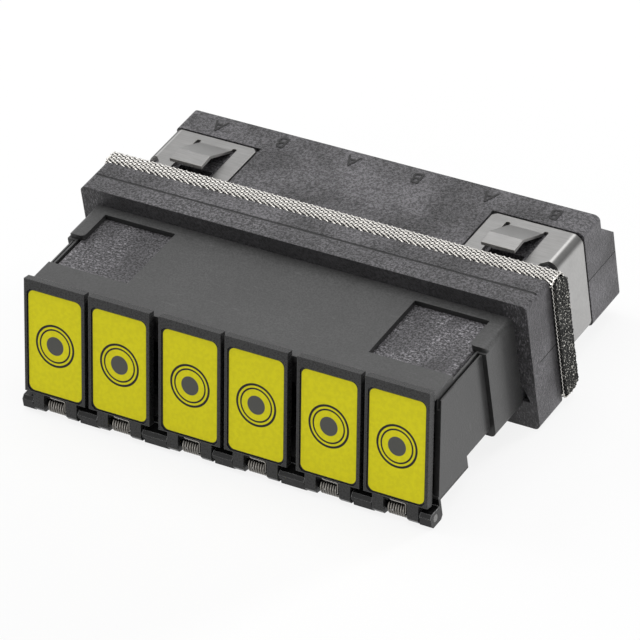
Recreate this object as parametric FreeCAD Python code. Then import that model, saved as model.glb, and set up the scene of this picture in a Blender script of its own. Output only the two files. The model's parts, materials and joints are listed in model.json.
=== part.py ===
import FreeCAD, Part
import math
import os

# Six-port LC fibre adapter with flip shutters, a panel flange, a shielding gasket and snap clips.
# Millimetres. X runs along the row of ports, Y from the front ports to the rear ports, Z up.
# The origin is the centre of the flange's rear face, where the panel sits.

# Row of ports
pair_count = 3
port_pitch = 6.25
pair_spread = 0.5
port_width = 4.5
latch_slot_width = 3.2
latch_slot_height = 2.0
ferrule_height = -0.9
port_lead_in = 0.25

# Front body, which carries the bezel
front_length = 10.5
front_top = 4.2
front_bottom = -4.0
front_side_wall = 0.375
mould_corner = 0.25

# Rear body
rear_height = 9.36
rear_side_wall = 1.125
rear_top_length = 10.85
rear_ledge = 1.8
rear_step_drop = 1.25
rear_step_slope = 1.6
rear_corner = 0.5

# Flange, in two moulded halves
flange_side_margin = 1.6
flange_top_margin = 1.47
flange_front_thickness = 1.9
flange_rear_thickness = 1.8
flange_corner = 0.5
relief_notch_top = -1.8
relief_notch_height = 1.7
relief_notch_width = 0.75

# Sleeve seats inside
sleeve_bore = 1.25
sleeve_wall = 0.18
sleeve_length = 6.8
sleeve_slit = 0.15
seat_sides = 8
seat_clearance = 0.02
seat_wall = 0.6
seat_recess = 0.15
web_thickness = 2.6

# Doors
door_slant = 13.7
door_reach = 3.43
door_foot = -4.38
door_height = 10.05
door_gap = 0.39
door_plate = 0.7
label_side_rim = 0.28
label_foot_rim = 0.1
label_top_band = 0.85
label_thickness = 0.1
label_corner = 0.3
label_depth = 0.2
label_clearance = 0.03

# Hinge
pin_diameter = 0.6
pin_setback = 0.81
pin_drop = 1.0
knuckle_width = 1.0
knuckle_spacing = 3.2
knuckle_radius = 0.62
knuckle_corner = 0.3
hinge_clearance = 0.05
knuckle_gap = 0.08
lug_depth = 1.75
lug_front = 0.75
lug_above = 0.6
lug_below = 0.72
lug_corner = 0.28
lug_pocket = 0.25

# Door springs
wire_diameter = 0.2
coil_turns = 6
coil_sides = 8
coil_pitch = 0.3
coil_diameter = 1.24
spring_reach = 1.9

# Bezel
bezel_plate = 0.48
bezel_fit = 0.08
bezel_web = 0.17
bezel_slit = 0.2
bezel_lip = 0.15
slit_depth = 0.9
lip_drop = 0.6
plate_front_gap = 0.06
wall_setback = 0.55
chin_thickness = 0.42
chin_length = 4.6
side_cut = 1.15
rib_length = 4.35
rib_height = 0.42
rib_foot = 4.1
rib_round = 0.5
window_inner = 11.35
window_length = 7.2
window_rear = 0.95
bar_width = 1.57
bar_length = 3.25
bar_round = 0.45

# Clips
clip_sheet = 0.3
clip_front = 2.2
clip_rear = 7.97
clip_reach = 8.2
clip_bend = 0.9
clip_corner = 0.35
clip_clearance = 0.2
tab_width = 3.1
tab_center = 4.65
tab_root = 7.0
tab_ridge = 4.05
tab_tip = 2.65
tab_rise = 1.4
tab_droop = 0.08
tab_slot = 0.42
slot_end = 0.3
tab_window_front = 2.85
tab_pocket = 0.6
bend_relief = 0.9
bend_relief_rear = 3.95

# Gasket
gasket_thickness = 1.75
gasket_overhang = 0.1
gasket_offset = 0.1
gasket_drop = 0.05
gasket_hole_gap = 0.2
gasket_round = 0.5
mesh_thickness = 0.15

# Values worked out from the sizes above
slant = math.radians(door_slant)
sin_slant = math.sin(slant)
cos_slant = math.cos(slant)
pair_pitch = 2 * port_pitch + pair_spread
port_x = []
for pair in range(pair_count):
    pair_x = (pair - (pair_count - 1) / 2) * pair_pitch
    port_x.append(pair_x - port_pitch / 2)
    port_x.append(pair_x + port_pitch / 2)
row_end = port_x[-1] + port_width / 2
front_half_width = row_end + front_side_wall
rear_half_width = row_end + rear_side_wall
rear_top = rear_height / 2
rear_length = rear_top_length + rear_ledge
flange_half_width = rear_half_width + flange_side_margin
flange_half_height = rear_top + flange_top_margin
flange_face = -flange_front_thickness - flange_rear_thickness
seam = -flange_rear_thickness
front_face = flange_face - front_length
door_front = front_face - door_reach
door_half = (port_pitch - door_gap) / 2
label_half = door_half - label_side_rim
label_end = door_height - label_top_band
web_inner = front_half_width + bezel_fit
web_outer = web_inner + bezel_web
lip_inner = web_outer + bezel_slit
side_x = lip_inner + bezel_lip
rib_x = side_x + rib_height
rib_front = flange_face - rib_length
bezel_top = front_top + bezel_plate
bezel_floor = front_bottom - bezel_fit / 2
chin_bottom = bezel_floor - chin_thickness
sleeve_outer = sleeve_bore + 2 * sleeve_wall
seat_bore = sleeve_outer + 2 * seat_clearance
seat_outer = seat_bore + 2 * seat_wall
seat_half = sleeve_length / 2 + seat_recess
tab_x = rear_half_width - tab_center
pin_radius = pin_diameter / 2


def slanted(depth, rise):
    """Y and Z of a point in the doors' slanted frame: depth behind the face, rise from the foot."""
    y = door_front + rise * sin_slant + depth * cos_slant
    z = door_foot + rise * cos_slant - depth * sin_slant
    return (y, z)


def behind_face(depth, z):
    """Y of the plane a given depth behind the doors' face, at height z."""
    return door_front + depth / cos_slant + (z - door_foot) * math.tan(slant)


pin_y, pin_z = slanted(pin_setback, -pin_drop)
chin_front = behind_face(door_plate + wall_setback, chin_bottom)
chin_rear = chin_front + chin_length


def outline(points, radii, place):
    """Closed face through corner points, each corner rounded by its radius."""
    count = len(points)
    if not isinstance(radii, (list, tuple)):
        radii = [radii] * count
    corners = []
    for index, point in enumerate(points):
        corner = FreeCAD.Vector(point[0], point[1], 0)
        radius = radii[index]
        if radius <= 0:
            corners.append((corner, None, corner))
            continue
        before = points[index - 1]
        after = points[(index + 1) % count]
        to_before = (FreeCAD.Vector(before[0], before[1], 0) - corner).normalize()
        to_after = (FreeCAD.Vector(after[0], after[1], 0) - corner).normalize()
        half = to_before.getAngle(to_after) / 2
        reach = radius / math.tan(half)
        bisector = (to_before + to_after).normalize()
        middle = corner + bisector * (radius / math.sin(half) - radius)
        corners.append((corner + to_before * reach, middle, corner + to_after * reach))
    edges = []
    for index, (start, middle, end) in enumerate(corners):
        if middle is not None:
            edges.append(Part.Arc(place(start), place(middle), place(end)).toShape())
        following = corners[(index + 1) % count][0]
        edges.append(Part.LineSegment(place(end), place(following)).toShape())
    return Part.Face(Part.Wire(edges))


def along_x(points, x0, x1, radii=0.0):
    """Solid with a (Y, Z) outline, extruded from x0 to x1."""
    face = outline(points, radii, lambda p: FreeCAD.Vector(x0, p.x, p.y))
    return face.extrude(FreeCAD.Vector(x1 - x0, 0, 0))


def along_y(points, y0, y1, radii=0.0):
    """Solid with an (X, Z) outline, extruded between two Y levels given in either order."""
    face = outline(points, radii, lambda p: FreeCAD.Vector(p.x, y0, p.y))
    return face.extrude(FreeCAD.Vector(0, y1 - y0, 0))


def along_z(points, z0, z1, radii=0.0):
    """Solid with an (X, Y) outline, extruded from z0 to z1."""
    face = outline(points, radii, lambda p: FreeCAD.Vector(p.x, p.y, z0))
    return face.extrude(FreeCAD.Vector(0, 0, z1 - z0))


def rectangle(a0, a1, b0, b1):
    """Four corner points of a rectangle, from its low corner round."""
    return [(a0, b0), (a1, b0), (a1, b1), (a0, b1)]


def clipped(a0, a1, b0, b1, cut):
    """Corner points of a rectangle whose four corners are cut off."""
    return [(a0 + cut, b0), (a1 - cut, b0), (a1, b0 + cut), (a1, b1 - cut),
            (a1 - cut, b1), (a0 + cut, b1), (a0, b1 - cut), (a0, b0 + cut)]


def polygon(a, b, across, sides):
    """Corner points of a regular polygon about (a, b), measured across its flats."""
    radius = across / 2 / math.cos(math.pi / sides)
    points = []
    for side in range(sides):
        angle = 2 * math.pi * (side + 0.5) / sides
        points.append((a + radius * math.cos(angle), b + radius * math.sin(angle)))
    return points


def block(x0, x1, y0, y1, z0, z1):
    """Plain box between two corners."""
    return Part.makeBox(x1 - x0, y1 - y0, z1 - z0, FreeCAD.Vector(x0, y0, z0))


def rod_y(radius, x, y0, y1, z):
    """Round bar along Y."""
    return Part.makeCylinder(radius, y1 - y0, FreeCAD.Vector(x, y0, z), FreeCAD.Vector(0, 1, 0))


def rod_x(radius, x0, x1, y, z):
    """Round bar along X."""
    return Part.makeCylinder(radius, x1 - x0, FreeCAD.Vector(x0, y, z), FreeCAD.Vector(1, 0, 0))


def mirrored(shape):
    """The same shape on the other side of the middle plane."""
    return shape.mirror(FreeCAD.Vector(0, 0, 0), FreeCAD.Vector(1, 0, 0))


def upside_down(shape):
    """The same shape below the level of the origin."""
    return shape.mirror(FreeCAD.Vector(0, 0, 0), FreeCAD.Vector(0, 0, 1))


def join(shapes):
    """One solid from overlapping shapes."""
    return shapes[0].multiFuse(shapes[1:]).removeSplitter()


def save(name, shape):
    """Write one piece, checked to be sound."""
    if not shape.isValid():
        raise RuntimeError(name + " is not a valid shape")
    shape.exportStep("parts/" + name + ".step")


def port_points(x, grow=0.0):
    """Opening of one port: a square for the plug and a narrower slot above for its latch."""
    half = port_width / 2 + grow
    slot = latch_slot_width / 2 + grow
    low = ferrule_height - half
    shoulder = ferrule_height + half
    top = ferrule_height + port_width / 2 + latch_slot_height + grow
    return [(x - half, low), (x + half, low), (x + half, shoulder), (x + slot, shoulder),
            (x + slot, top), (x - slot, top), (x - slot, shoulder), (x - half, shoulder)]


def cut_port(body, x, mouth, inward):
    """Cut one port into a body half and leave the sleeve's seat standing on the web.

    mouth is the Y of the open end and inward is +1 or -1, the way a plug goes in.
    """
    web = seam - inward * web_thickness
    seat_end = seam - inward * seat_half
    cavity = along_y(port_points(x), mouth, web)
    lead_in = along_y(port_points(x, port_lead_in), mouth, mouth + inward * port_lead_in)
    seat = along_y(polygon(x, ferrule_height, seat_outer, seat_sides), seat_end, web)
    pocket = along_y(polygon(x, ferrule_height, seat_bore, seat_sides), seat_end, seam)
    return body.cut(cavity.fuse(lead_in).cut(seat)).cut(pocket)


def flange_half(y0, y1):
    """One half of the flange."""
    points = rectangle(-flange_half_width, flange_half_width, -flange_half_height, flange_half_height)
    return along_y(points, y0, y1, flange_corner)


def front_housing():
    """Front body half: the ports behind the doors and the front of the flange."""
    section = clipped(-front_half_width, front_half_width, front_bottom, front_top, mould_corner)
    body = join([along_y(section, front_face, seam), flange_half(flange_face, seam)])
    for x in port_x:
        body = cut_port(body, x, front_face, 1)
    low = relief_notch_top - relief_notch_height
    triangle = [(rib_x, relief_notch_top), (rib_x, low), (rib_x + relief_notch_width, low)]
    notch = along_y(triangle, flange_face, flange_face + relief_notch_width)
    return body.cut(notch.fuse(mirrored(notch)))


def rear_housing():
    """Rear body half: the rear ports, the seats for the clips and the rear of the flange."""
    section = rectangle(-rear_half_width, rear_half_width, -rear_top, rear_top)
    body = along_y(section, seam, rear_length, rear_corner)
    body = join([body, flange_half(seam, 0.0)])
    step = rear_top - rear_step_drop
    ledge = step - rear_step_slope
    corner = [(rear_top_length, step), (rear_length, ledge), (rear_length + rear_ledge, ledge),
              (rear_length + rear_ledge, rear_height), (rear_top_length, rear_height)]
    body = body.cut(along_x(corner, -flange_half_width, flange_half_width))
    for x in port_x:
        body = cut_port(body, x, rear_length, -1)
    seat = clip_seat()
    return body.cut(seat.fuse(mirrored(seat)))


def under_clip(front, rear):
    """What is left of the rear body's right end inside the clip."""
    side = rear_half_width - clip_sheet
    level = rear_top - clip_sheet
    cut = clip_bend - clip_sheet
    points = [(0, -level), (side - cut, -level), (side, cut - level),
              (side, level - cut), (side - cut, level), (0, level)]
    return along_y(points, front, rear)


def clip_seat():
    """Recess for the right clip, with a deeper pocket under each snap tab."""
    inner = rear_half_width - clip_reach - clip_clearance
    front = clip_front - clip_clearance
    rear = clip_rear + clip_clearance
    corner = block(inner, flange_half_width, front, rear, -flange_half_height, flange_half_height)
    floor = rear_top - clip_sheet - tab_pocket
    half = tab_width / 2
    pocket = block(tab_x - half, tab_x + half, tab_window_front, tab_ridge, floor, rear_top)
    return corner.cut(under_clip(front, rear)).fuse([pocket, upside_down(pocket)])


def clip_tab():
    """Snap tab above the right clip: it rises from its root to a ridge and ends in a lip."""
    crest = rear_top + tab_rise
    lip = crest - tab_droop
    bend_shift = clip_sheet * math.tan(math.atan2(tab_rise, tab_root - tab_ridge) / 2)
    points = [(tab_root, rear_top), (tab_ridge, crest), (tab_tip, lip), (tab_tip, lip - clip_sheet),
              (tab_ridge + bend_shift, crest - clip_sheet), (tab_root + bend_shift, rear_top - clip_sheet),
              (tab_root + clip_sheet, rear_top - clip_sheet), (tab_root + clip_sheet, rear_top)]
    return along_x(points, tab_x - tab_width / 2, tab_x + tab_width / 2)


def clip():
    """Right clip: one bent sheet with a snap tab above and below."""
    inner = rear_half_width - clip_reach
    high = flange_half_height
    outside = rectangle(inner, rear_half_width, -rear_top, rear_top)
    sheet = along_y(outside, clip_front, clip_rear, [0, clip_bend, clip_bend, 0])
    sheet = sheet.cut(under_clip(clip_front, clip_rear))
    window_half = tab_width / 2 + tab_slot
    cuts = [block(tab_x - window_half, tab_x + window_half, tab_window_front, tab_root, -high, high)]
    for side in (-1, 1):
        slot_x = tab_x + side * (tab_width + tab_slot) / 2
        points = clipped(slot_x - tab_slot / 2, slot_x + tab_slot / 2, tab_ridge, tab_root + slot_end,
                         tab_slot / 4)
        cuts.append(along_z(points, -high, high))
    relief_x = rear_half_width - clip_bend / 2
    relief_points = clipped(relief_x - bend_relief, relief_x + bend_relief, clip_front - bend_relief,
                            bend_relief_rear, bend_relief * 0.6)
    relief = along_z(relief_points, rear_top - clip_bend, high)
    edge = clip_rear - clip_corner
    trim = along_z([(inner, edge), (inner, clip_rear), (inner + clip_corner, clip_rear)], -high, high)
    cuts.extend([relief, upside_down(relief), trim])
    tab = clip_tab()
    return join([sheet.cut(cuts), tab, upside_down(tab)])


def gasket():
    """Foam pad and the mesh tube wrapped round it, both pierced for the rear body."""
    x0 = gasket_offset - flange_half_width - gasket_overhang
    x1 = gasket_offset + flange_half_width + gasket_overhang
    tall = flange_half_height - gasket_drop
    wrap = along_x(rectangle(0, gasket_thickness, -tall, tall), x0, x1, gasket_round)
    low = tall - mesh_thickness
    rear = gasket_thickness - mesh_thickness
    core = along_x(clipped(mesh_thickness, rear, -low, low, gasket_round / 2), x0, x1)
    hole_x = rear_half_width + gasket_hole_gap
    hole_z = rear_top + gasket_hole_gap
    hole = block(-hole_x, hole_x, 0, gasket_thickness, -hole_z, hole_z)
    return core.cut(hole), wrap.cut([core, hole])


def side_wall():
    """Right side wall of the bezel: a thin lip outside a slit, and the thick rib at the flange."""
    cut_level = chin_bottom + side_cut
    top_front = behind_face(door_plate + wall_setback, front_top)
    points = [(top_front, front_top), (chin_front, chin_bottom), (chin_rear, chin_bottom),
              (chin_rear, cut_level), (flange_face, cut_level), (flange_face, front_top)]
    lip_top = bezel_top - lip_drop
    slit = block(web_outer, lip_inner, chin_front, rib_front, lip_top - slit_depth, bezel_top)
    above_lip = block(web_outer, side_x, chin_front, rib_front, lip_top, bezel_top)
    wall = along_x(points, web_inner, side_x).cut([slit, above_lip])
    section = rectangle(web_inner, rib_x, -rib_foot, bezel_top)
    rib = along_y(section, rib_front, flange_face, [0, rib_round, rib_round, 0])
    return join([wall, rib])


def window_bar():
    """Right bar over the window, drawn out from the rib, with a rounded front end and outer edge."""
    front = flange_face - window_rear - bar_length
    points = rectangle(rib_x - bar_width, rib_x, front, flange_face)
    bar = along_z(points, front_top, bezel_top, [bar_round, bar_round, 0, 0])
    section = rectangle(rib_x - bar_width, rib_x, front_bottom, bezel_top)
    return bar.common(along_y(section, front, flange_face, [0, 0, rib_round, 0]))


def lug_spans():
    """X ranges of the hinge lugs: one at each end and one between neighbouring doors."""
    reach = (knuckle_spacing + knuckle_width) / 2 + knuckle_gap
    edges = [-side_x]
    for x in port_x:
        edges.extend([x - reach, x + reach])
    edges.append(side_x)
    return list(zip(edges[0::2], edges[1::2]))


def hinge_lugs():
    """The row of lugs under the chin.

    The end lugs have round holes for the pin. Those between two doors have a slot that the pin lies in,
    open below, and a pocket in the lower left of the front.
    """
    front = pin_y - lug_front
    back = front + lug_depth
    top = pin_z + lug_above
    low = pin_z - lug_below
    points = [(front, low + lug_corner), (front + lug_corner, low), (back - lug_corner, low),
              (back, low + lug_corner), (back, bezel_floor), (chin_front, bezel_floor),
              (chin_front, top), (front + lug_corner, top), (front, top - lug_corner)]
    spans = lug_spans()
    lugs = []
    for index, (x0, x1) in enumerate(spans):
        lug = along_x(points, x0, x1)
        if 0 < index < len(spans) - 1:
            pocket = block(x0, (x0 + x1) / 2, front, front + lug_pocket, low, pin_z)
            slot = block(x0, x1, pin_y - pin_radius, pin_y + pin_radius, low, pin_z + pin_radius)
            lugs.append(lug.cut([pocket, slot]))
        else:
            lugs.append(lug.cut(rod_x(pin_radius, x0, x1, pin_y, pin_z)))
    return lugs


def shutter_bezel():
    """Smooth sleeve over the front body: top plate, side walls, chin and the hinge lugs."""
    plate_front = behind_face(door_plate, bezel_top) + plate_front_gap
    plate = block(-web_outer, web_outer, plate_front, flange_face, front_top, bezel_top)
    window_end = flange_face - window_rear
    points = rectangle(window_inner, flange_half_width, window_end - window_length, window_end)
    window = along_z(points, front_top, bezel_top)
    bar = window_bar()
    wall = side_wall().cut(window.cut(bar))
    chin = block(-web_inner, web_inner, chin_front, chin_rear, chin_bottom, bezel_floor)
    pieces = [plate.cut([window, mirrored(window)]), bar, mirrored(bar), wall, mirrored(wall), chin]
    return join(pieces + hinge_lugs())


def tilt(shape):
    """Lay a piece drawn upright at the doors' foot into their slanted plane."""
    shape.rotate(FreeCAD.Vector(0, 0, 0), FreeCAD.Vector(1, 0, 0), -door_slant)
    shape.translate(FreeCAD.Vector(0, door_front, door_foot))
    return shape


def door():
    """One shutter at X = 0: a plate with a recess for its label and two hinge knuckles."""
    plate = block(-door_half, door_half, 0, door_plate, 0, door_height)
    back = pin_setback + knuckle_radius
    low = -pin_drop - knuckle_radius
    cut = knuckle_corner
    points = [(0, cut), (0, low + cut), (cut, low), (back - cut, low), (back, low + cut),
              (back, -pin_drop + cut), (door_plate, cut)]
    shapes = [plate]
    for side in (-1, 1):
        x = side * knuckle_spacing / 2
        shapes.append(along_x(points, x - knuckle_width / 2, x + knuckle_width / 2))
    bore = rod_x(pin_radius + hinge_clearance, -door_half, door_half, pin_setback, -pin_drop)
    grow = label_clearance
    recess = along_y(clipped(-label_half - grow, label_half + grow, label_foot_rim - grow, label_end + grow,
                             label_corner), 0, label_depth)
    return tilt(join(shapes).cut([bore, recess]))


def label():
    """One label at X = 0, lying on the floor of its recess."""
    points = clipped(-label_half, label_half, label_foot_rim, label_end, label_corner)
    return tilt(along_y(points, label_depth - label_thickness, label_depth))


def wire_run(start, end):
    """Straight run of spring wire between two points, square in section."""
    half = wire_diameter / 2
    corners = [(-half, -half), (half, -half), (half, half), (-half, half), (-half, -half)]
    path = end - start
    turn = FreeCAD.Rotation(FreeCAD.Vector(0, 0, 1), path)
    wire = Part.makePolygon([start + turn.multVec(FreeCAD.Vector(a, b, 0)) for a, b in corners])
    return Part.Face(wire).extrude(path)


def coil_section(x, across):
    """Cross-section of the coil at one place along the pin."""
    corners = polygon(pin_y, pin_z, across, coil_sides)
    return Part.makePolygon([FreeCAD.Vector(x, y, z) for y, z in corners + corners[:1]])


def door_spring():
    """One torsion spring at X = 0: a close-wound coil round the pin, a fixed leg and a door leg."""
    start = -coil_turns * coil_pitch / 2
    groove = coil_diameter - wire_diameter
    sections = [coil_section(start, groove)]
    for turn in range(coil_turns):
        left = start + turn * coil_pitch
        sections.append(coil_section(left + coil_pitch / 2, coil_diameter))
        sections.append(coil_section(left + coil_pitch, groove))
    coil = Part.makeLoft(sections, True, True)
    inside = polygon(pin_y, pin_z, coil_diameter - 2 * wire_diameter, coil_sides)
    coil = coil.cut(along_x(inside, start, -start))
    ring = groove / 2
    left_x = start + wire_diameter / 2
    right_x = -left_x
    contact = FreeCAD.Vector(left_x, pin_y + spring_reach, chin_bottom - wire_diameter / 2)
    distance = math.hypot(contact.y - pin_y, contact.z - pin_z)
    leave = math.atan2(contact.z - pin_z, contact.y - pin_y) - math.acos(ring / distance)
    foot = FreeCAD.Vector(left_x, pin_y + ring * math.cos(leave), pin_z + ring * math.sin(leave))
    leg_depth = pin_setback - ring
    low = slanted(leg_depth, -pin_drop)
    high = slanted(leg_depth, -wire_diameter / 2)
    corner = FreeCAD.Vector(right_x, high[0], high[1])
    fixed_leg = wire_run(foot, contact)
    door_leg = wire_run(FreeCAD.Vector(right_x, low[0], low[1]), corner)
    crossing = wire_run(corner, FreeCAD.Vector(start / 2, high[0], high[1]))
    return join([coil, fixed_leg, door_leg, crossing])


def sleeve():
    """One split sleeve at X = 0, with its slit upward."""
    start = seam - sleeve_length / 2
    end = seam + sleeve_length / 2
    tube = rod_y(sleeve_outer / 2, 0, start, end, ferrule_height)
    bore = rod_y(sleeve_bore / 2, 0, start, end, ferrule_height)
    above = ferrule_height + sleeve_outer
    slit = block(-sleeve_slit / 2, sleeve_slit / 2, start, end, ferrule_height, above)
    return tube.cut([bore, slit])


os.makedirs("parts", exist_ok=True)
save("front_housing", front_housing())
save("rear_housing", rear_housing())
save("shutter_bezel", shutter_bezel())
save("hinge_pin", rod_x(pin_radius, -side_x, side_x, pin_y, pin_z))
right_clip = clip()
save("right_clip", right_clip)
save("left_clip", mirrored(right_clip))
foam, mesh = gasket()
save("gasket_foam", foam)
save("gasket_mesh", mesh)
repeated = {"door": door(), "label": label(), "door_spring": door_spring(), "sleeve": sleeve()}
for name, shape in repeated.items():
    for number, x in enumerate(port_x, start=1):
        save(name + "_" + str(number), shape.translated(FreeCAD.Vector(x, 0, 0)))
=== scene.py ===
"""Dresses the six-port LC fibre adapter: finishes, door springs, gasket, port letters and studio."""

import json
import logging
import math
from collections.abc import Callable
from dataclasses import dataclass, field, replace
from enum import Enum, IntEnum
from functools import reduce
from typing import Any

import bpy
from bpy.types import Material, MeshEdge, NodeSocket, Object, World
from mathutils import Matrix, Vector

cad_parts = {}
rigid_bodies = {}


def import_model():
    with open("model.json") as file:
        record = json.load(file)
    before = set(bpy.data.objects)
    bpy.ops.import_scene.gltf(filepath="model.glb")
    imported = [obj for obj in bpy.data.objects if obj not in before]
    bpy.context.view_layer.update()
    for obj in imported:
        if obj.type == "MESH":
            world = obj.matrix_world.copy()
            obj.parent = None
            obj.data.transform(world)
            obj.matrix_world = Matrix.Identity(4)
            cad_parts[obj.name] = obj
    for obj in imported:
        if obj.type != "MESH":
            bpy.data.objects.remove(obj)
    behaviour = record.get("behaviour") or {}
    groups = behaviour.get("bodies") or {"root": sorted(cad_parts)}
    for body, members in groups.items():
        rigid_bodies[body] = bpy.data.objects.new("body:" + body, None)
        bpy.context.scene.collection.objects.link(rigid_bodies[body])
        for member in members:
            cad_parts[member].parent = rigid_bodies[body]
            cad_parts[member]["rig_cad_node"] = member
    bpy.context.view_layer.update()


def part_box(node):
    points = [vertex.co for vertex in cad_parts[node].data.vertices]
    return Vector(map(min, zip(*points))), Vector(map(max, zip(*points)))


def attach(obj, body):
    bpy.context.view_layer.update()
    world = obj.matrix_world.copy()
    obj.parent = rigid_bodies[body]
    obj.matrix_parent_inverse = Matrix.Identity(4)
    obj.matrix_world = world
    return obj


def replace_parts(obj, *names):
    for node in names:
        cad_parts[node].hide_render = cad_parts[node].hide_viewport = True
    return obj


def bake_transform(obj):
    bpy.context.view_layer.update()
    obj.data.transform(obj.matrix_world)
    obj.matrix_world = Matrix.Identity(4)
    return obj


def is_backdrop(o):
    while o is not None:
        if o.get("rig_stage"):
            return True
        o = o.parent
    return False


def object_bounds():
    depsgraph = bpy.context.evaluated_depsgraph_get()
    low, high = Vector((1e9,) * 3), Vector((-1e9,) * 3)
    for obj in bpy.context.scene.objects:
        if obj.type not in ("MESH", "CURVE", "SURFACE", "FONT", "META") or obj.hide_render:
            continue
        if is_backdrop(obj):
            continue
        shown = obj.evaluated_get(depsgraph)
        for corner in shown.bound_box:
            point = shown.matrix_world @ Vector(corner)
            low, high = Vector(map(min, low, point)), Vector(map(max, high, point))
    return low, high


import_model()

Triple = tuple[float, float, float]
LOG = logging.getLogger("adapter")
MM = 0.001
PORT_X = (-16.125, -9.875, -3.125, 3.125, 9.875, 16.125)
DOOR_SLANT = math.radians(13.7)
DOOR_FOOT = (-17.63, -4.38)
WHITE = (1.0, 1.0, 1.0)
MIDDLE = 0.5
ALONG_X = 0.9
DOUBLES = 1e-6
WIRE_ANGLE = math.radians(50)


class Axis(IntEnum):
    """The three axes of the row frame, by index."""

    X = 0
    Y = 1
    Z = 2


class Body(Enum):
    """The bodies that scene pieces ride on."""

    HOUSING = "housing"
    DOOR = "door_{}"


class Slot(Enum):
    """The material slots of the record that new pieces use."""

    PLASTIC = "housing_plastic"
    SPRING = "spring_steel"
    FOAM = "foam"
    MESH = "metal_mesh"


class Shade:
    """A socket of a material's nodes that takes part in ordinary arithmetic."""

    def __init__(self, graph: "Graph", socket: NodeSocket) -> None:
        """Wrap one output socket of a graph."""
        self.graph = graph
        self.socket = socket

    def math(self, operation: str, *others: "Shade | float") -> "Shade":
        """Pass this value and others through one Math node.

        Args:
            operation: name of the Math node's operation.
            others: the further operands, if the operation takes them.

        Returns:
            The node's result.
        """
        values = dict(enumerate((self, *others)))
        return self.graph.node("ShaderNodeMath", {"operation": operation}, values)

    def __add__(self, other: "Shade | float") -> "Shade":
        """Sum of two values."""
        return self.math("ADD", other)

    __radd__ = __add__

    def __sub__(self, other: "Shade | float") -> "Shade":
        """Difference of two values."""
        return self.math("SUBTRACT", other)

    def __rsub__(self, other: float) -> "Shade":
        """Plain number minus this value."""
        return (self * -1.0) + other

    def __mul__(self, other: "Shade | float") -> "Shade":
        """Product of two values."""
        return self.math("MULTIPLY", other)

    __rmul__ = __mul__

    def __abs__(self) -> "Shade":
        """Size of the value without its sign."""
        return self.math("ABSOLUTE")

    def least(self, other: "Shade | float") -> "Shade":
        """The smaller of two values."""
        return self.math("MINIMUM", other)

    def most(self, other: "Shade | float") -> "Shade":
        """The larger of two values."""
        return self.math("MAXIMUM", other)

    def rise(self, low: float, high: float) -> "Shade":
        """Smooth step from 0 at low to 1 at high.

        Args:
            low: value where the step starts.
            high: value where the step ends, above or below low.

        Returns:
            The step, between 0 and 1.
        """
        limits = {"Value": self, "From Min": low, "From Max": high}
        return self.graph.node("ShaderNodeMapRange", {"interpolation_type": "SMOOTHSTEP"}, limits)


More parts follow.
